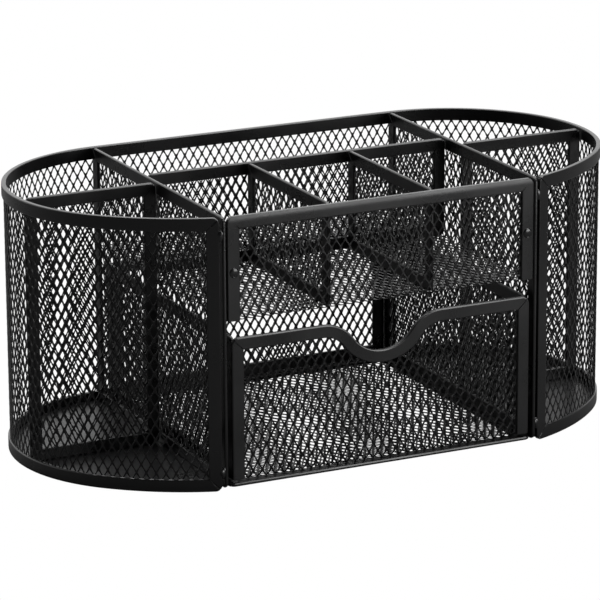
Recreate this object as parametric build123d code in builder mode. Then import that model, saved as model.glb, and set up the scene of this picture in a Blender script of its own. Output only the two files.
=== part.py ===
"""Oval desk organizer in expanded steel mesh, with hemmed edges and one drawer.

Millimetres. +X is the organizer's right, +Y its back, +Z up. The origin is at
the bottom centre, on the surface that the organizer stands on. Each mesh panel
is a thin closed sheet, and a folded steel hem holds its edges in a groove.
"""
from build123d import *
from math import acos, cos, degrees, radians, sin
import os

os.makedirs("parts", exist_ok=True)

# Whole organizer
width = 236.0
depth = 119.5
height = 101.6
back_y = 60.0
front_y = back_y - depth

# Mesh sheet, and the folded hem that binds its edges
sheet = 0.6
hem_thick = 1.8
hem_deep = 4.8
hem_lip = 1.2
corner_r = 2.5

# Plan of the shell: straight back, round ends, flatter cheeks at the front
end_r = 56.5
end_x = width / 2 - end_r
end_y = back_y - end_r
end_stop = -44.2
cheek_r = 91.4
shell_stop_x = 64.4

# Panels inside
divider_x = 63.0
divider_bottom = 0.8
left_cross_y = -1.5
right_cross_y = 0.5
mid_y = 10.5
short_x = 20.9
fit_gap = 0.4
plate_bottom = 0.8
plate_thick = 0.8

# Upper tray and base
tray_floor = 62.5
tray_half = 61.8
base_bottom = 0.8

# Drawer
drawer_bottom = 3.0
drawer_top = 56.8
drawer_half = 60.6
drawer_side_x = 59.4
drawer_back_y = 54.6
drawer_corner_r = 3.0
notch_deep = 12.3
notch_half = 24.0

# Weld beads
nugget_r = 2.4
nugget_rise = 0.5
nugget_x = 59.4
nugget_z = 82.4
bead_r = 0.25
bead_long = 3.0
bead_levels = (7.0, 95.0)

half_thick = hem_thick / 2
front_mid_y = front_y + half_thick
front_back_face = front_y + hem_thick
divider_face = divider_x - half_thick
inner_back = back_y - hem_thick - 0.5 * fit_gap
tray_top = tray_floor + sheet
plate_top = plate_bottom + plate_thick
cheek_x = end_x + (end_r - cheek_r) * cos(radians(end_stop))
cheek_y = end_y + (end_r - cheek_r) * sin(radians(end_stop))
notch_r = (notch_half**2 + notch_deep**2) / (4 * notch_deep)
notch_turn = degrees(acos(1 - notch_deep / (2 * notch_r)))


def save(piece, name):
    """Label a finished piece and write its own file."""
    piece.part.label = name
    export_step(piece.part, f"parts/{name}.step")


def cheek_stop(inset, stop_x):
    """Angle on the cheek arc where the shell line reaches stop_x."""
    return -degrees(acos((stop_x - cheek_x) / (cheek_r - inset)))


def right_end_line(inset, stop_x, start=90):
    """Round end and cheek on the right, inset from the shell's outer face."""
    CenterArc((end_x, end_y), end_r - inset, start, end_stop - start)
    sweep = cheek_stop(inset, stop_x) - end_stop
    CenterArc((cheek_x, cheek_y), cheek_r - inset, end_stop, sweep)


def shell_band(thickness, low, high, stop_x=shell_stop_x):
    """The C-shaped shell wall at one thickness, between two heights."""
    with BuildPart() as band:
        with BuildSketch(Plane.XY.offset(low)):
            with BuildLine():
                Line((0, back_y - half_thick), (end_x, back_y - half_thick))
                right_end_line(half_thick, stop_x)
                mirror(about=Plane.YZ)
            trace(line_width=thickness)
        extrude(amount=high - low)
    return band


def right_strip(thickness, start, stop, low, high):
    """A short stretch of the right cheek, measured back from its front end."""
    reach = cheek_r - half_thick
    first = cheek_stop(half_thick, shell_stop_x) + degrees(start / reach)
    with BuildPart() as strip:
        with BuildSketch(Plane.XY.offset(low)):
            with BuildLine():
                CenterArc((cheek_x, cheek_y), reach, first, degrees((stop - start) / reach))
            trace(line_width=thickness)
        extrude(amount=high - low)
    return strip


def mitre_plane(level, rise):
    """Plane of the mitre at a right front corner, facing the front hem."""
    angle = radians(cheek_stop(half_thick, shell_stop_x))
    reach = cheek_r - half_thick
    corner = (cheek_x + reach * cos(angle), cheek_y + reach * sin(angle), level)
    return Plane(origin=corner, z_dir=(sin(angle), -cos(angle), rise))


def end_tips(band, place):
    """Top (-1) or bottom (0) edges across the ends of a shell band."""
    across = band.edges().filter_by(lambda edge: abs(edge.length - hem_thick) < 0.01)
    return across.group_by(Axis.Z)[place]


def upright_plane(x, y, z, facing):
    """Plane of an upright panel, facing 'side' (+X) or 'front' (-Y)."""
    if facing == "side":
        return Plane(origin=(x, y, z), x_dir=(0, 1, 0), z_dir=(1, 0, 0))
    return Plane(origin=(x, y, z), x_dir=(1, 0, 0), z_dir=(0, -1, 0))


def framed_panel(name, plane, wide, tall):
    """A flat mesh sheet, and the hem folded round all four of its edges."""
    with BuildPart() as mesh:
        with BuildSketch(plane):
            Rectangle(wide - 2 * hem_lip, tall - 2 * hem_lip)
        extrude(amount=sheet / 2, both=True)
    save(mesh, name + "_mesh")

    with BuildPart() as frame:
        with BuildSketch(plane):
            RectangleRounded(wide, tall, corner_r)
            Rectangle(wide - 2 * hem_deep, tall - 2 * hem_deep, mode=Mode.SUBTRACT)
        extrude(amount=half_thick, both=True)
        add(mesh.part, mode=Mode.SUBTRACT)
    save(frame, name + "_frame")


def side_panel(name, x, front, back, low, high):
    """A framed panel that stands parallel to the organizer's sides."""
    plane = upright_plane(x, (front + back) / 2, (low + high) / 2, "side")
    framed_panel(name, plane, back - front, high - low)


def cross_panel(name, y, left, right, low, high):
    """A framed panel that stands parallel to the organizer's front."""
    plane = upright_plane((left + right) / 2, y, (low + high) / 2, "front")
    framed_panel(name, plane, right - left, high - low)


# Shell: one mesh sheet, open at the front
sheet_stop_x = shell_stop_x + hem_lip
with BuildPart() as shell_mesh:
    add(shell_band(sheet, hem_lip, height - hem_lip, sheet_stop_x).part)
save(shell_mesh, "shell_mesh")

# Shell hems, mitred at the front corners, where the front hems fill the corners' lower halves
with BuildPart() as right_front_strip:
    add(right_strip(hem_thick, 0, hem_deep, 0, height).part)
    fillet(end_tips(right_front_strip, -1).sort_by(Axis.X)[0], corner_r)
    fillet(end_tips(right_front_strip, 0).sort_by(Axis.X)[0], corner_r)
    split(bisect_by=mitre_plane(height, -1), keep=Keep.TOP)
    split(bisect_by=mitre_plane(0, 1), keep=Keep.TOP)

with BuildPart() as shell_front_hem_right:
    add(right_front_strip.part)
    add(shell_mesh.part, mode=Mode.SUBTRACT)
save(shell_front_hem_right, "shell_front_hem_right")

with BuildPart() as shell_front_hem_left:
    mirror(shell_front_hem_right.part, about=Plane.YZ)
save(shell_front_hem_left, "shell_front_hem_left")

for name, low, place in (("shell_bottom_hem", 0, 0), ("shell_top_hem", height - hem_deep, -1)):
    with BuildPart() as hem:
        add(shell_band(hem_thick, low, low + hem_deep).part)
        fillet(end_tips(hem, place), corner_r)
        add(right_front_strip.part, mode=Mode.SUBTRACT)
        mirror(right_front_strip.part, about=Plane.YZ, mode=Mode.SUBTRACT)
        add(shell_mesh.part, mode=Mode.SUBTRACT)
    save(hem, name)

# Solid floors of the two end compartments
plate_inset = hem_thick + fit_gap
plate_edge_x = divider_x + half_thick
with BuildPart() as right_floor_plate:
    with BuildSketch(Plane.XY.offset(plate_bottom)):
        with BuildLine() as rim:
            start = degrees(acos((plate_edge_x - end_x) / (end_r - plate_inset)))
            right_end_line(plate_inset, plate_edge_x, start)
            Line(rim.vertices().sort_by(Axis.Y)[0], rim.vertices().sort_by(Axis.Y)[-1])
        make_face()
    extrude(amount=plate_thick)
save(right_floor_plate, "right_floor_plate")

with BuildPart() as left_floor_plate:
    mirror(right_floor_plate.part, about=Plane.YZ)
save(left_floor_plate, "left_floor_plate")

# Upright panels of the body
cross_outer_x = width / 2 - hem_thick - 1.5 * fit_gap
side_panel("left_divider", -divider_x, front_y, inner_back, divider_bottom, height)
side_panel("right_divider", divider_x, front_y, inner_back, divider_bottom, height)
cross_panel("left_cross_panel", left_cross_y, -cross_outer_x, -plate_edge_x, plate_top, height)
cross_panel("right_cross_panel", right_cross_y, plate_edge_x, cross_outer_x, plate_top, height)
cross_panel("middle_panel", mid_y, -divider_face, divider_face, tray_top, height)
short_back_y = mid_y - half_thick
side_panel("left_short_divider", -short_x, front_back_face, short_back_y, tray_top, height)
side_panel("right_short_divider", short_x, front_back_face, short_back_y, tray_top, height)

# Upper tray: one sheet folded from the front panel into the tray floor
with BuildPart() as tray_mesh:
    with BuildSketch(Plane.XZ.offset(-front_mid_y)):
        with Locations((0, (tray_floor + height - hem_lip) / 2)):
            Rectangle(2 * (tray_half - hem_lip), height - hem_lip - tray_floor)
    extrude(amount=sheet / 2, both=True)
    with BuildSketch(Plane.XY.offset(tray_floor)):
        with Locations((0, (front_mid_y - sheet / 2 + inner_back) / 2)):
            Rectangle(2 * tray_half, inner_back - front_mid_y + sheet / 2)
    extrude(amount=sheet)
save(tray_mesh, "tray_mesh")

with BuildPart() as tray_front_frame:
    with BuildSketch(Plane.XZ.offset(-front_mid_y)):
        with Locations((0, (tray_top + height) / 2)):
            outline = Rectangle(2 * tray_half, height - tray_top)
        fillet(outline.vertices().group_by(Axis.Z)[-1], corner_r)
        inner_low = tray_top
        inner_high = height - hem_deep
        with Locations((0, (inner_low + inner_high) / 2)):
            Rectangle(2 * (tray_half - hem_deep), inner_high - inner_low, mode=Mode.SUBTRACT)
    extrude(amount=half_thick, both=True)
    add(tray_mesh.part, mode=Mode.SUBTRACT)
save(tray_front_frame, "tray_front_frame")

# Base under the drawer: a framed panel that lies flat
base_centre = (0, (front_y + inner_back) / 2, base_bottom + half_thick)
framed_panel("base", Plane(origin=base_centre), 2 * tray_half, inner_back - front_y)


def drawer_front_outline(inset, low):
    """Drawer front outline with the finger notch, inset on its top and sides."""
    half = drawer_half - inset
    top = drawer_top - inset
    corner = max(drawer_corner_r - inset, 0.5)
    dip = JernArc((0, top - notch_deep), (1, 0), notch_r + inset, notch_turn)
    rise = JernArc(dip @ 1, dip % 1, notch_r - inset, -notch_turn)
    edge = Line(rise @ 1, (half - corner, top))
    bend = JernArc(edge @ 1, (1, 0), corner, -90)
    Polyline(bend @ 1, (half, low), (0, low))
    mirror(about=Plane.YZ)


# Drawer: front panel and floor are one folded sheet
drawer_floor_top = drawer_bottom + sheet
drawer_end_y = drawer_back_y + half_thick
drawer_inner_x = drawer_side_x - half_thick
with BuildPart() as drawer_mesh:
    with BuildSketch(Plane.XZ.offset(-front_mid_y)):
        with BuildLine():
            drawer_front_outline(hem_lip, drawer_bottom)
        make_face()
    extrude(amount=sheet / 2, both=True)
    with BuildSketch(Plane.XY.offset(drawer_bottom)):
        with Locations((0, (front_mid_y - sheet / 2 + drawer_end_y) / 2)):
            Rectangle(2 * drawer_inner_x, drawer_end_y - front_mid_y + sheet / 2)
    extrude(amount=sheet)
save(drawer_mesh, "drawer_mesh")

with BuildPart() as drawer_front_frame:
    with BuildSketch(Plane.XZ.offset(-front_mid_y)):
        with BuildLine():
            drawer_front_outline(0, drawer_floor_top)
        make_face()
        with BuildLine():
            drawer_front_outline(hem_deep, drawer_floor_top)
        make_face(mode=Mode.SUBTRACT)
    extrude(amount=half_thick, both=True)
    add(drawer_mesh.part, mode=Mode.SUBTRACT)
save(drawer_front_frame, "drawer_front_frame")

for hand, x in (("left", -drawer_side_x), ("right", drawer_side_x)):
    side_panel(f"drawer_{hand}_side", x, front_back_face, drawer_end_y, drawer_bottom, drawer_top)
back_low = drawer_floor_top
cross_panel("drawer_back", drawer_back_y, -drawer_inner_x, drawer_inner_x, back_low, drawer_top)

# Weld beads beside the shell's front ends, and flattened nuggets on the tray front
bead_x = (shell_stop_x + plate_edge_x) / 2
nugget_sink = nugget_r - nugget_rise
with BuildPart() as nuggets:
    with Locations(
        (-nugget_x, front_y + nugget_sink, nugget_z),
        (nugget_x, front_y + nugget_sink, nugget_z),
    ):
        Sphere(nugget_r)
    split(bisect_by=Plane(origin=(0, front_y, 0), z_dir=(0, -1, 0)), keep=Keep.TOP)

with BuildPart() as weld_beads:
    add(nuggets.part)
    for level in bead_levels:
        with BuildSketch(Plane.XY.offset(level - bead_long / 2)):
            with Locations((bead_x, front_mid_y), (-bead_x, front_mid_y)):
                Circle(bead_r)
        extrude(amount=bead_long)
save(weld_beads, "weld_beads")
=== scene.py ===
from math import acos, ceil, cos, pi, radians, sin

import bmesh
import bpy
from mathutils import Matrix, Vector


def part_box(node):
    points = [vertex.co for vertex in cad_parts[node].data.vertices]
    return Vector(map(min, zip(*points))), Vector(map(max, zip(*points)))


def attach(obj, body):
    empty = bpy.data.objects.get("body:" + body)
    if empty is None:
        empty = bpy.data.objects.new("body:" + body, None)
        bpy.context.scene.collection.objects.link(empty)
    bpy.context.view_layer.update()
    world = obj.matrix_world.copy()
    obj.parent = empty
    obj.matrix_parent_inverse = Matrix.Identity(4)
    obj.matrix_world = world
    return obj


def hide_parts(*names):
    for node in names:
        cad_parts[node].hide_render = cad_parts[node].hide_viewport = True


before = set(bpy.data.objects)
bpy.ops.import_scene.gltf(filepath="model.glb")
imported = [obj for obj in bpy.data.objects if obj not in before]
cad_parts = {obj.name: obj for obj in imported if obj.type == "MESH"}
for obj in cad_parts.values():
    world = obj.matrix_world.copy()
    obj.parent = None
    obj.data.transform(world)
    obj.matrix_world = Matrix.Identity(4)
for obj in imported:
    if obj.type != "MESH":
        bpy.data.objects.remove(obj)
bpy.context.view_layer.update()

MM = 0.001

# Expanded sheet: its diamonds and strands, and how far the pull draws the knots into an opening
diamond_wide = 3.6 * MM
diamond_long = 6.2 * MM
strand_wide = 0.37 * MM
floor_strand = 0.44 * MM
base_strand = 0.60 * MM
strand_thick = 0.28 * MM
knot_wide = 0.20 * MM
knot_long = 0.35 * MM
base_pitch = (3.35 * MM, 6.5 * MM)

# How far the pull lifts the right side of each opening out of the sheet, and lowers its left side
wall_turn = 0.04 * MM
shell_turn = -0.10 * MM
front_turn = 0.18 * MM

# Where the first knot lies on the sheets that are seen one behind the other
middle_first_knot = (0.56 * MM, 2.9 * MM)
shell_first_knot = (0.98 * MM, 5.74 * MM)

# CAD mesh sheets are closed solids of twice this thickness; the diamonds lie on their middle
half_sheet = 0.3 * MM

# Folded hems
hem_thick = 1.8 * MM
panel_hem_thick = 1.3 * MM
hem_deep = 4.8 * MM
hem_lip = 1.2 * MM
corner_r = 2.5 * MM
fold_r = 0.5 * MM
lip_r = 0.4 * MM
seam_r = 0.14 * MM
half_thick = hem_thick / 2
sharp_bend = radians(50)

# The tray's front strip thins towards its fold, along a few cuts close to its top
crown_thinning = 0.25
crown_cuts = 4
crown_cut_spread = 0.7

# Plan of the shell: a straight back, round ends, then flatter cheeks that run in to the front
shell_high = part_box("shell_top_hem")[1]
height = shell_high.z
back_y = shell_high.y
end_r = 56.5 * MM
end_x = shell_high.x - end_r
end_stop = radians(-44.2)
cheek_r = 91.4 * MM
shell_stop_x = 64.4 * MM
shell_rib_gap = 3 * MM

# Drawer: a diamond is left out where the notch comes within opening_reach of its centre
drawer_corner_r = 3.0 * MM
notch_deep = 12.3 * MM
notch_half = 24.0 * MM
opening_reach = 2.6 * MM
sheet_bend_r = 1.6 * MM

# Welds
nugget_x = 59.4 * MM
nugget_z = 81.0 * MM
nugget_rise = 0.47 * MM
nugget_r = 1.8 * MM
ring_r = 0.75 * MM
ring_tube = 0.28 * MM
ring_place = Vector((0, -0.12 * MM, -0.9 * MM))
puddle_reach = Vector((1.25, 0.85, 2.1)) * MM
puddle_levels = (7 * MM, 95 * MM)
puddle_sunk_x = 0.25 * MM
puddle_proud_y = 0.1 * MM

# Coat: noise scales are in cycles per metre, and roughness drifts a little round its gloss value
drift_scale = 45
peel_scale = 1400
peel_height = 0.03 * MM
rougher = 0.06
smoother = 0.05

# Studio
floor_grey = (0.11, 0.11, 0.11, 1)
floor_roughness = 0.9
white = (1, 1, 1, 1)
room_dim = 0.03
room_bright = 1.7

# Camera: turned to the right from straight ahead, dipped below level, and rolled a little
camera_place = (-0.60617, -1.23982, 0.44589)
camera_heading = radians(-25.88)
camera_dip = radians(16.083)
camera_roll = radians(-0.353)
camera_lens = 229.07

# How close to a line a vertex has to be to stand on it
loose = 0.1 * MM
tight = 0.01 * MM


# Finishes ---------------------------------------------------------------------------------------

def noise(material, scale, detail):
    """Noise over the object's own space."""
    nodes = material.node_tree.nodes
    place = nodes.new("ShaderNodeTexCoord")
    made = nodes.new("ShaderNodeTexNoise")
    made.inputs["Scale"].default_value = scale
    made.inputs["Detail"].default_value = detail
    material.node_tree.links.new(place.outputs["Object"], made.inputs["Vector"])
    return made.outputs["Fac"]


def satin_coat(name, dark, light, gloss, peel, shine=0.5):
    """Satin black powder coat: fine orange peel, with slow drift in shade and gloss."""
    material = bpy.data.materials.new(name)
    material.use_nodes = True
    nodes, links = material.node_tree.nodes, material.node_tree.links
    shader = nodes["Principled BSDF"]
    shader.inputs["Specular IOR Level"].default_value = shine

    drift = noise(material, drift_scale, 4)
    shade = nodes.new("ShaderNodeMix")
    shade.data_type = "RGBA"
    shade.inputs["A"].default_value = (*dark, 1)
    shade.inputs["B"].default_value = (*light, 1)
    links.new(drift, shade.inputs["Factor"])
    links.new(shade.outputs["Result"], shader.inputs["Base Color"])

    sheen = nodes.new("ShaderNodeMapRange")
    sheen.inputs["From Min"].default_value = 0.3
    sheen.inputs["From Max"].default_value = 0.7
    sheen.inputs["To Min"].default_value = gloss - smoother
    sheen.inputs["To Max"].default_value = gloss + rougher
    links.new(drift, sheen.inputs["Value"])
    links.new(sheen.outputs["Result"], shader.inputs["Roughness"])

    bump = nodes.new("ShaderNodeBump")
    bump.inputs["Strength"].default_value = peel
    bump.inputs["Distance"].default_value = peel_height
    links.new(noise(material, peel_scale, 3), bump.inputs["Height"])
    links.new(bump.outputs["Normal"], shader.inputs["Normal"])
    return material


hem_coat = satin_coat(
    "satin_hem_coat", (0.0027, 0.0027, 0.0029), (0.0047, 0.0046, 0.0049), 0.29, 0.5
)
mesh_coat = satin_coat(
    "satin_mesh_coat", (0.0016, 0.0016, 0.0018), (0.0032, 0.0032, 0.0035), 0.33, 0.3, shine=0.38
)
plate_coat = satin_coat(
    "satin_plate_coat", (0.0045, 0.0045, 0.0048), (0.0080, 0.0080, 0.0084), 0.30, 0.6
)
weld_coat = satin_coat(
    "coated_weld", (0.0050, 0.0050, 0.0053), (0.0090, 0.0090, 0.0094), 0.20, 0.6
)


# Cutting and thickening flat pieces -------------------------------------------------------------

def cut(bm, point, facing, clear=False):
    """Cut across the whole piece, and clear away what lies on the facing side if asked."""
    everything = bm.verts[:] + bm.edges[:] + bm.faces[:]
    bmesh.ops.bisect_plane(bm, geom=everything, plane_co=point, plane_no=facing, clear_outer=clear)


def flat_sheet(wide, tall, across, up):
    """A flat grid from (0, 0) to (wide, tall)."""
    bm = bmesh.new()
    bmesh.ops.create_grid(bm, x_segments=across, y_segments=up, size=0.5)
    bmesh.ops.translate(bm, verts=bm.verts, vec=(0.5, 0.5, 0))
    bmesh.ops.scale(bm, verts=bm.verts, vec=(wide, tall, 1))
    return bm


def thicken(bm, thickness):
    """Give a flat sheet its thickness, half to each side of its plane."""
    bmesh.ops.recalc_face_normals(bm, faces=bm.faces)
    bmesh.ops.solidify(bm, geom=bm.faces[:], thickness=thickness)
    middle = sum(vert.co.z for vert in bm.verts) / len(bm.verts)
    bmesh.ops.translate(bm, verts=bm.verts, vec=(0, 0, -middle))
    bmesh.ops.recalc_face_normals(bm, faces=bm.faces)


def ease(bm, edges, offset, segments):
    """Bevel edges over."""
    bmesh.ops.bevel(
        bm, geom=edges, offset=offset, offset_type="OFFSET", segments=segments, profile=0.5,
        affect="EDGES", material=-1, clamp_overlap=True,
    )


def spot(u, v):
    """A place in a flat piece, to a thousandth of a millimetre."""
    return round(u / MM, 3), round(v / MM, 3)


def mark(vert):
    """Where a vertex stands in its flat piece, whatever its height above it."""
    return spot(vert.co.x, vert.co.y)


# Expanded sheet ---------------------------------------------------------------------------------

def diamonds(wide, tall, turn, keep=None, first_knot=(0.0, 0.0),
             pitch=(diamond_wide, diamond_long), strand=strand_wide):
    """Expanded sheet: slit and pulled into diamonds, each strand tilted by the pull.

    One knot lies at first_knot, and keep tells which diamonds to make. The sheet is cut straight
    across its strands at its edges.
    """
    across, up = ceil(wide / pitch[0]) + 1, ceil(tall / pitch[1]) + 1
    bm = flat_sheet(across * pitch[0], up * pitch[1], across, up)
    shift = (first_knot[0] - pitch[0], first_knot[1] - pitch[1], 0)
    bmesh.ops.translate(bm, verts=bm.verts, vec=shift)
    grid_lines = [edge for edge in bm.edges if not edge.is_boundary]
    bmesh.ops.poke(bm, faces=bm.faces[:])
    bmesh.ops.dissolve_edges(bm, edges=grid_lines, use_verts=False, use_face_split=False)
    if keep:
        gone = [face for face in bm.faces if not keep(face.calc_center_median())]
        bmesh.ops.delete(bm, geom=gone, context="FACES")
    bmesh.ops.bisect_edges(bm, edges=bm.edges[:], cuts=1)
    openings = bm.faces[:]
    bmesh.ops.inset_individual(bm, faces=openings, thickness=strand / 2, use_even_offset=True)
    for opening in openings:
        shape_opening(opening, turn, pitch[0] / 2)
    bmesh.ops.delete(bm, geom=openings, context="FACES_ONLY")
    for corner, facing in (((0, 0, 0), (-1, 0, 0)), ((0, 0, 0), (0, -1, 0)),
                           ((wide, 0, 0), (1, 0, 0)), ((0, tall, 0), (0, 1, 0))):
        cut(bm, corner, facing, clear=True)
    thicken(bm, strand_thick)
    return bm


def shape_opening(opening, turn, half_wide):
    """Tilt the strands round one opening, and thicken the knots at its four corners."""
    centre = opening.calc_center_median()
    for vert in opening.verts:
        out = vert.co - centre
        vert.co.z = turn * out.x / half_wide
        if abs(out.y) < loose:
            vert.co.x -= knot_wide * (1 if out.x > 0 else -1)
        elif abs(out.x) < loose:
            vert.co.y -= knot_long * (1 if out.y > 0 else -1)


# Folded hems ------------------------------------------------------------------------------------

ALL_BARS = ("left", "right", "bottom", "top")


def hem_bars(wide, tall, bars=ALL_BARS, radius=corner_r, ribs=0, shape_top=None, crowns=0,
             thick=hem_thick):
    """Strip folded round the edges of a sheet, mitred at its corners and round outside.

    Upright bars without a bar at their foot are cut straight there. Ribs are cuts that let the
    strip bend along a curve, and crowns are cuts along its top bar.
    """
    open_foot = "bottom" not in bars and "top" in bars and "left" in bars
    foot = -2 * hem_deep if open_foot else 0
    bm = flat_sheet(wide, tall - foot, 1, 1)
    bmesh.ops.translate(bm, verts=bm.verts, vec=(0, foot, 0))
    if shape_top:
        shape_top(bm, wide, tall)
    sheet = bm.faces[:]
    bmesh.ops.inset_region(bm, faces=sheet, thickness=hem_deep, use_even_offset=True, use_boundary=True)
    inner = {mark(vert) for face in sheet for vert in face.verts}
    bmesh.ops.delete(bm, geom=sheet, context="FACES")

    tops = ((False, True), (True, True))
    feet = () if open_foot else ((False, False), (True, False))
    round_corners(bm, wide, tall, radius, tops + feet)
    if open_foot:
        cut(bm, (0, 0, 0), (0, -1, 0), clear=True)
    for rib in range(1, ribs):
        cut(bm, (wide * rib / ribs, 0, 0), (1, 0, 0))
    for crown in range(crowns):
        level = tall - hem_deep / 2 * (1 - crown_cut_spread * crown / crowns)
        cut(bm, (0, level, 0), (0, 1, 0))

    split_mitres(bm, wide, tall, foot)
    leave_bars(bm, bars, wide, tall, foot, bool(shape_top))
    folds, lips = hem_lines(bm, inner, wide, tall, foot)
    thicken(bm, thick)
    soften(bm, folds, fold_r, 3)
    soften(bm, lips, lip_r, 2)
    seams = [edge for edge in bm.edges if edge.calc_face_angle(0) > sharp_bend]
    ease(bm, seams, seam_r, 1)
    return bm


def round_corners(bm, wide, tall, radius, corners):
    """Cut corners of an outline round, one short facet at a time."""
    facets = 5
    for right, top in corners:
        centre = Vector((wide - radius if right else radius, tall - radius if top else radius, 0))
        for step in range(facets):
            angle = (step + 0.5) * pi / 2 / facets
            facing = Vector((cos(angle) * (1 if right else -1), sin(angle) * (1 if top else -1), 0))
            cut(bm, centre + radius * facing, facing, clear=True)


def split_mitres(bm, wide, tall, foot):
    """Part the bars along the slanted edges that start at the hem's inner corners."""
    least_slant = 0.3
    columns, rows = (hem_deep, wide - hem_deep), (foot + hem_deep, tall - hem_deep)
    inner_corners = {spot(u, v) for u in columns for v in rows}
    mitres = []
    for edge in bm.edges:
        run = edge.verts[1].co - edge.verts[0].co
        slanted = min(abs(run.x), abs(run.y)) > least_slant * max(abs(run.x), abs(run.y))
        if slanted and not edge.is_boundary and {mark(vert) for vert in edge.verts} & inner_corners:
            mitres.append(edge)
    bmesh.ops.split_edges(bm, edges=mitres)


def leave_bars(bm, bars, wide, tall, foot, shaped_top):
    """Take away the bars that aren't wanted.

    A face belongs to the edge it is nearest to, and all of a shaped top belongs to the top.
    """
    gone = []
    for face in bm.faces:
        centre = face.calc_center_median()
        gaps = {
            "left": centre.x, "right": wide - centre.x,
            "bottom": centre.y - foot, "top": tall - centre.y,
        }
        nearest = min(gaps, key=gaps.get)
        if shaped_top and hem_deep < centre.x < wide - hem_deep and centre.y > tall / 2:
            nearest = "top"
        if nearest not in bars:
            gone.append(face)
    bmesh.ops.delete(bm, geom=gone, context="FACES")


def hem_lines(bm, inner, wide, tall, foot):
    """Marks of the vertices along the hem's outer fold, and along its inner lip."""
    folds, lips = set(), set()
    for edge in bm.edges:
        if edge.is_boundary:
            ends = [mark(vert) for vert in edge.verts]
            on_inner = [end in inner or on_lip(end, wide, tall, foot) for end in ends]
            if all(on_inner):
                lips.update(ends)
            elif not any(on_inner):
                folds.update(ends)
    return folds, lips


def on_lip(place, wide, tall, foot):
    """True for a spot on the straight inner edge of a hem."""
    u, v = place[0] * MM, place[1] * MM
    inside_u = hem_deep - tight < u < wide - hem_deep + tight
    inside_v = foot + hem_deep - tight < v < tall - hem_deep + tight
    edge_u = min(abs(u - hem_deep), abs(wide - hem_deep - u)) < tight
    edge_v = min(abs(v - foot - hem_deep), abs(tall - hem_deep - v)) < tight
    return (inside_u and edge_v) or (inside_v and edge_u)


def soften(bm, marks, radius, segments):
    """Round the long edges whose ends both stand on the marked line."""
    edges = []
    for edge in bm.edges:
        level = abs(edge.verts[0].co.z - edge.verts[1].co.z) < tight
        if level and all(mark(vert) in marks for vert in edge.verts):
            if edge.calc_face_angle(0) > sharp_bend:
                edges.append(edge)
    ease(bm, edges, radius, segments)


# Laying pieces in place -------------------------------------------------------------------------

def bent_line(start, heading, runs):
    """A line of straight runs and arcs, as a function that gives the point and the heading.

    Each run is a length and the angle it turns by. The first and the last go on past their ends.
    """
    def at(distance):
        (x, y), facing, left = start, heading, distance
        for index, (length, turn) in enumerate(runs):
            last = index == len(runs) - 1
            here = left if last else min(left, length)
            if turn:
                radius = length / turn
                swung = facing + turn * here / length
                x += radius * (sin(swung) - sin(facing))
                y += radius * (cos(facing) - cos(swung))
                facing = swung
            else:
                x += here * cos(facing)
                y += here * sin(facing)
            left -= here
            if left <= 0 and not last:
                break
        return x, y, facing
    return at


def flat_place(low, high):
    """How a flat piece stands in a node's box: its width, its height and where (u, v, w) goes."""
    thin = 2.5 * MM
    size, middle = high - low, (low + high) / 2
    if size.x < thin:
        return size.y, size.z, lambda u, v, w: Vector((middle.x + w, low.y + u, low.z + v))
    if size.y < thin:
        return size.x, size.z, lambda u, v, w: Vector((low.x + u, middle.y - w, low.z + v))
    return size.x, size.y, lambda u, v, w: Vector((low.x + u, low.y + v, middle.z + w))


def lay(bm, place):
    """Move every vertex from the piece's own (u, v, w) to where place() puts it."""
    for vert in bm.verts:
        vert.co = place(*vert.co)


def finish_piece(bm, name, body, coat, node, smooth_under=12):
    """Make the piece: smooth faces, crisp edges, its coat, its body and the CAD node it shows."""
    for face in bm.faces:
        face.smooth = True
    for edge in bm.edges:
        edge.smooth = edge.calc_face_angle(pi) < radians(smooth_under)
    mesh = bpy.data.meshes.new(name)
    bm.to_mesh(mesh)
    bm.free()
    mesh.materials.append(coat)
    piece = bpy.data.objects.new(name, mesh)
    bpy.context.scene.collection.objects.link(piece)
    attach(piece, body)
    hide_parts(node)


def finish_hem(bm, place, name, body, node):
    """Lay a folded strip and make its piece."""
    lay(bm, place)
    finish_piece(bm, name, body, hem_coat, node)


def finish_sheet(bm, place, name, body, node):
    """Lay an expanded sheet and make its piece."""
    lay(bm, place)
    finish_piece(bm, name, body, mesh_coat, node)


# Framed flat panels -----------------------------------------------------------------------------

def framed_panel(name, body, turn, **lattice):
    """A diamond sheet and its mitred hem, standing where the CAD panel stands."""
    wide, tall, place = flat_place(*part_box(name + "_frame"))
    hem = hem_bars(wide, tall, thick=panel_hem_thick)
    finish_hem(hem, place, name + "_hem", body, name + "_frame")
    sheet = diamonds(wide - 2 * hem_lip, tall - 2 * hem_lip, turn, **lattice)
    bmesh.ops.translate(sheet, verts=sheet.verts, vec=(hem_lip, hem_lip, 0))
    finish_sheet(sheet, place, name + "_diamonds", body, name + "_mesh")


for panel in ("left_divider", "right_divider", "left_short_divider", "right_short_divider",
              "left_cross_panel", "right_cross_panel"):
    framed_panel(panel, "organizer_body", wall_turn)
framed_panel("base", "organizer_body", front_turn, pitch=base_pitch, strand=base_strand)
framed_panel("middle_panel", "organizer_body", wall_turn, first_knot=middle_first_knot)
for panel in ("drawer_left_side", "drawer_right_side", "drawer_back"):
    framed_panel(panel, "drawer", -wall_turn)


# Shell ------------------------------------------------------------------------------------------

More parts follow.
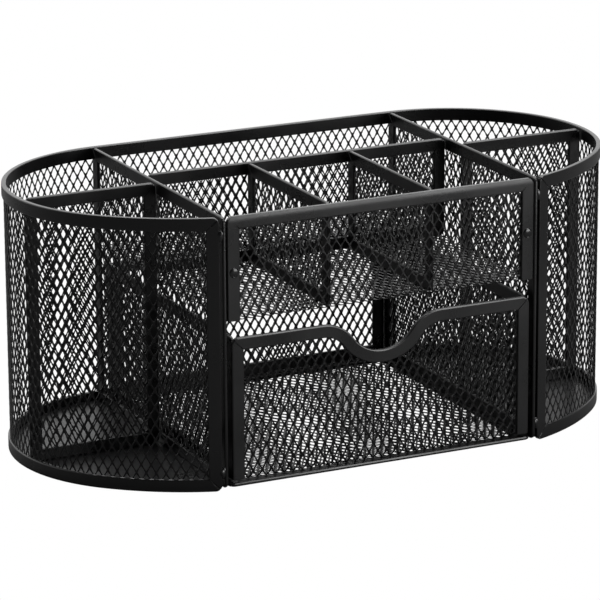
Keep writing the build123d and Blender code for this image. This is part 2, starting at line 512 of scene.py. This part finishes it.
end_y = back_y - end_r
cheek_x = end_x + (end_r - cheek_r) * cos(end_stop)
cheek_y = end_y + (end_r - cheek_r) * sin(end_stop)
cheek_line_r = cheek_r - half_thick
end_line_r = end_r - half_thick
cheek_stop = -acos((shell_stop_x - cheek_x) / cheek_line_r)
cheek_sweep = end_stop - cheek_stop
end_sweep = pi / 2 - end_stop
cheek_run = (cheek_line_r * cheek_sweep, -cheek_sweep)
end_run = (end_line_r * end_sweep, -end_sweep)
back_run = (2 * end_x, 0)
shell_runs = (cheek_run, end_run, back_run, end_run, cheek_run)
shell_length = sum(length for length, turn in shell_runs)
shell_start = (-shell_stop_x, cheek_y + cheek_line_r * sin(cheek_stop))
shell_line = bent_line(shell_start, pi / 2 - cheek_stop, shell_runs)


def on_shell(u, v, w):
    """Round the shell from its left front end, up from the desk, out of its outer face."""
    x, y, facing = shell_line(u)
    return Vector((x - w * sin(facing), y + w * cos(facing), v))


for bar, name, node in (
    ("top", "shell_top_rim", "shell_top_hem"),
    ("bottom", "shell_bottom_rim", "shell_bottom_hem"),
    ("left", "shell_left_end_rim", "shell_front_hem_left"),
    ("right", "shell_right_end_rim", "shell_front_hem_right"),
):
    rim = hem_bars(shell_length, height, bars=(bar,), ribs=ceil(shell_length / shell_rib_gap))
    finish_hem(rim, on_shell, name, "organizer_body", node)

shell_middle = shell_length / 2
sheet_long, sheet_tall = shell_length - 2 * hem_lip, height - 2 * hem_lip
for name, keep in (
    ("shell_left_diamonds", lambda centre: centre.x < shell_middle),
    ("shell_right_diamonds", lambda centre: centre.x >= shell_middle),
):
    shell_sheet = diamonds(sheet_long, sheet_tall, shell_turn, keep, shell_first_knot)
    bmesh.ops.translate(shell_sheet, verts=shell_sheet.verts, vec=(hem_lip, hem_lip, 0))
    finish_sheet(shell_sheet, on_shell, name, "organizer_body", "shell_mesh")


# Upper tray: its front and its floor are one folded sheet ---------------------------------------

def folded_sheet(name, body, node, front_y, turn, keep=None, strand=strand_wide):
    """A sheet hung from the top of a front panel, folded back at its foot into a floor."""
    low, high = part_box(node)
    floor = low.z + half_sheet
    drop = high.z - floor - sheet_bend_r
    bend = sheet_bend_r * pi / 2
    reach = high.y - front_y - sheet_bend_r
    line = bent_line((front_y, high.z), -pi / 2, ((drop, 0), (bend, pi / 2), (reach, 0)))

    def on_fold(u, v, w):
        y, z, facing = line(v)
        return Vector((low.x + u, y - w * sin(facing), z + w * cos(facing)))

    sheet = diamonds(high.x - low.x, drop + bend + reach, turn, keep, strand=strand)
    finish_sheet(sheet, on_fold, name, body, node)


tray_low, tray_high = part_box("tray_front_frame")
tray_wide, tray_tall, on_tray_front = flat_place(tray_low, tray_high)
tray_front_y = (tray_low.y + tray_high.y) / 2


def crowned(u, v, w):
    """On the tray's front, the top half of the strip drawn in towards its fold."""
    rise = max(0.0, 1 - (tray_tall - v) / (hem_deep / 2))
    return on_tray_front(u, v, w * (1 - crown_thinning * rise**2))


tray_hem = hem_bars(tray_wide, tray_tall, ("left", "right", "top"), crowns=crown_cuts)
finish_hem(tray_hem, crowned, "tray_front_hem", "organizer_body", "tray_front_frame")
folded_sheet("tray_diamonds", "organizer_body", "tray_mesh", tray_front_y, -front_turn)


# Drawer front with its finger notch -------------------------------------------------------------

notch_r = (notch_half**2 + notch_deep**2) / (4 * notch_deep)
notch_turn = acos(1 - notch_deep / (2 * notch_r))


def notch_drop(across):
    """How far the drawer's top edge dips, at a distance from the middle."""
    across = abs(across)
    if across >= notch_half:
        return 0.0
    if across <= notch_r * sin(notch_turn):
        return notch_deep - (notch_r - (notch_r**2 - across**2) ** 0.5)
    rest = notch_half - across
    return notch_r - (notch_r**2 - rest**2) ** 0.5


def shape_notch(bm, wide, tall):
    """Dip the top edge into the notch: arcs over the shoulders, one arc round the bottom."""
    steps = 12
    top = [edge for edge in bm.edges if all(abs(vert.co.y - tall) < loose for vert in edge.verts)]
    turns = [notch_turn * step / steps for step in range(steps + 1)]
    outer = [notch_half - notch_r * sin(turn) for turn in turns]
    inner = [notch_r * sin(turn) for turn in turns[:-1]]
    stops = sorted({*outer, *inner, *(-u for u in outer), *(-u for u in inner)})
    made = bmesh.ops.subdivide_edges(bm, edges=top, cuts=len(stops))
    fresh = [item for item in made["geom_inner"] if isinstance(item, bmesh.types.BMVert)]
    fresh.sort(key=lambda vert: vert.co.x)
    for vert, across in zip(fresh, stops):
        vert.co = Vector((wide / 2 + across, tall - notch_drop(across), 0))


front_low, front_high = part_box("drawer_front_frame")
front_wide, front_tall, on_drawer_front = flat_place(front_low, front_high)
front_y = (front_low.y + front_high.y) / 2
drawer_hem = hem_bars(
    front_wide, front_tall, ("left", "right", "top"), drawer_corner_r, shape_top=shape_notch
)
finish_hem(drawer_hem, on_drawer_front, "drawer_front_hem", "drawer", "drawer_front_frame")

floor_low, floor_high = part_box("drawer_mesh")


def under_notch(centre):
    """True for a diamond that the notch leaves in the drawer's front."""
    across = centre.x - (floor_high.x - floor_low.x) / 2
    depth = centre.y + hem_lip
    return all(
        depth - opening_reach * cos(angle) > notch_drop(across + opening_reach * sin(angle))
        for angle in (-1.2, -0.8, -0.4, 0, 0.4, 0.8, 1.2)
    )


folded_sheet(
    "drawer_diamonds", "drawer", "drawer_mesh", front_y, front_turn, under_notch, floor_strand
)


# Welds ------------------------------------------------------------------------------------------

def weld_spot(bm, centre, reach):
    """One puddle of weld metal: an uneven rounded lump, different at each place."""
    made = bmesh.ops.create_icosphere(bm, subdivisions=3, radius=1.0)
    for vert in made["verts"]:
        x, y, z = vert.co
        swell = 1 + 0.10 * sin(3.1 * x + 2 * z + 40 * centre.x)
        swell += 0.08 * cos(4.3 * y + 3 * x + 25 * centre.z)
        vert.co = centre + Vector((x * reach.x, y * reach.y, z * reach.z)) * swell


def nugget(bm, centre):
    """A flattened spot-weld nugget with the ring that the electrode leaves below its crown."""
    dome = bmesh.ops.create_uvsphere(bm, u_segments=32, v_segments=16, radius=nugget_r)["verts"]
    bmesh.ops.scale(bm, verts=dome, vec=(1, nugget_rise / nugget_r, 1))
    bmesh.ops.translate(bm, verts=dome, vec=centre)
    earlier = set(bm.verts)
    tube = bmesh.ops.create_circle(bm, segments=10, radius=ring_tube, cap_ends=False)["verts"]
    bmesh.ops.rotate(bm, verts=tube, cent=(0, 0, 0), matrix=Matrix.Rotation(pi / 2, 3, "Z"))
    bmesh.ops.translate(bm, verts=tube, vec=(ring_r, 0, 0))
    edges = list({edge for vert in tube for edge in vert.link_edges})
    bmesh.ops.spin(
        bm, geom=tube + edges, cent=(0, 0, 0), axis=(0, 1, 0), angle=2 * pi, steps=20, use_merge=True
    )
    ring = [vert for vert in bm.verts if vert not in earlier]
    bmesh.ops.translate(bm, verts=ring, vec=centre + ring_place)


bead_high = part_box("weld_beads")[1]
welds = bmesh.new()
for side in (-1, 1):
    nugget(welds, Vector((side * nugget_x, tray_low.y, nugget_z)))
    puddle_x = side * (bead_high.x - puddle_sunk_x)
    for level in puddle_levels:
        weld_spot(welds, Vector((puddle_x, front_y - puddle_proud_y, level)), puddle_reach)
bmesh.ops.recalc_face_normals(welds, faces=welds.faces)
finish_piece(
    welds, "spot_welds", "organizer_body", weld_coat, "weld_beads", smooth_under=60
)


# Floor plates: the CAD meshes, with their coat --------------------------------------------------

for plate in ("left_floor_plate", "right_floor_plate"):
    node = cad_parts[plate]
    node.data.materials.clear()
    node.data.materials.append(plate_coat)


# Room, light and camera -------------------------------------------------------------------------

def white_to_camera(tree, lighting, backdrop, output):
    """Show the camera a white backdrop, while the object is lit by another shader."""
    seen = tree.nodes.new("ShaderNodeLightPath")
    mix = tree.nodes.new("ShaderNodeMixShader")
    tree.links.new(seen.outputs["Is Camera Ray"], mix.inputs["Fac"])
    tree.links.new(lighting, mix.inputs[1])
    tree.links.new(backdrop, mix.inputs[2])
    tree.links.new(mix.outputs["Shader"], tree.nodes[output].inputs["Surface"])


def studio_floor():
    """A pale floor at desk level, far wider than the object."""
    bm = bmesh.new()
    bmesh.ops.create_grid(bm, x_segments=1, y_segments=1, size=4)
    mesh = bpy.data.meshes.new("studio_floor")
    bm.to_mesh(mesh)
    bm.free()
    floor = bpy.data.objects.new("studio_floor", mesh)
    bpy.context.scene.collection.objects.link(floor)
    pale = bpy.data.materials.new("pale_floor")
    pale.use_nodes = True
    shader = pale.node_tree.nodes["Principled BSDF"]
    shader.inputs["Base Color"].default_value = floor_grey
    shader.inputs["Roughness"].default_value = floor_roughness
    glow = pale.node_tree.nodes.new("ShaderNodeEmission")
    white_to_camera(
        pale.node_tree, shader.outputs["BSDF"], glow.outputs["Emission"], "Material Output"
    )
    mesh.materials.append(pale)


def softbox(name, place, target, size, power):
    """A square soft light aimed at a point."""
    light = bpy.data.lights.new(name, "AREA")
    light.shape = "SQUARE"
    light.size = size
    light.energy = power
    lamp = bpy.data.objects.new(name, light)
    bpy.context.scene.collection.objects.link(lamp)
    lamp.location = place
    lamp.rotation_euler = (Vector(target) - Vector(place)).to_track_quat("-Z", "Y").to_euler()


def studio_room():
    """A room that is dim in front of the object and bright behind it."""
    world = bpy.data.worlds.new("studio")
    bpy.context.scene.world = world
    world.use_nodes = True
    nodes, links = world.node_tree.nodes, world.node_tree.links
    backdrop = nodes["Background"]
    backdrop.inputs["Color"].default_value = white
    room = nodes.new("ShaderNodeBackground")
    direction = nodes.new("ShaderNodeTexCoord")
    parts = nodes.new("ShaderNodeSeparateXYZ")
    links.new(direction.outputs["Generated"], parts.inputs["Vector"])
    fade = nodes.new("ShaderNodeMapRange")
    fade.interpolation_type = "SMOOTHSTEP"
    fade.inputs["From Min"].default_value = -0.4
    fade.inputs["From Max"].default_value = 0.9
    fade.inputs["To Min"].default_value = room_dim
    fade.inputs["To Max"].default_value = room_bright
    links.new(parts.outputs["Y"], fade.inputs["Value"])
    links.new(fade.outputs["Result"], room.inputs["Strength"])
    white_to_camera(
        world.node_tree, room.outputs["Background"], backdrop.outputs["Background"], "World Output"
    )


def front_camera():
    """A long lens from the left of the front, looking down a little."""
    data = bpy.data.cameras.new("camera")
    data.lens = camera_lens
    data.clip_start, data.clip_end = 0.05, 20
    camera = bpy.data.objects.new("camera", data)
    bpy.context.scene.collection.objects.link(camera)
    aim = Matrix.Rotation(camera_heading, 4, "Z") @ Matrix.Rotation(pi / 2 - camera_dip, 4, "X")
    aim = aim @ Matrix.Rotation(camera_roll, 4, "Z")
    camera.matrix_world = Matrix.Translation(camera_place) @ aim
    bpy.context.scene.camera = camera


studio_floor()
middle = (0, 0, height / 2)
softbox("overhead_softbox", (0.1, 0.35, 1.2), middle, 0.8, 14)
softbox("right_softbox", (0.75, -1.22, 0.27), middle, 0.75, 12)
softbox("shoulder_softbox", (0.5, -0.3, 1.1), middle, 0.6, 8)
studio_room()
bpy.context.scene.view_settings.view_transform = "Standard"
front_camera()
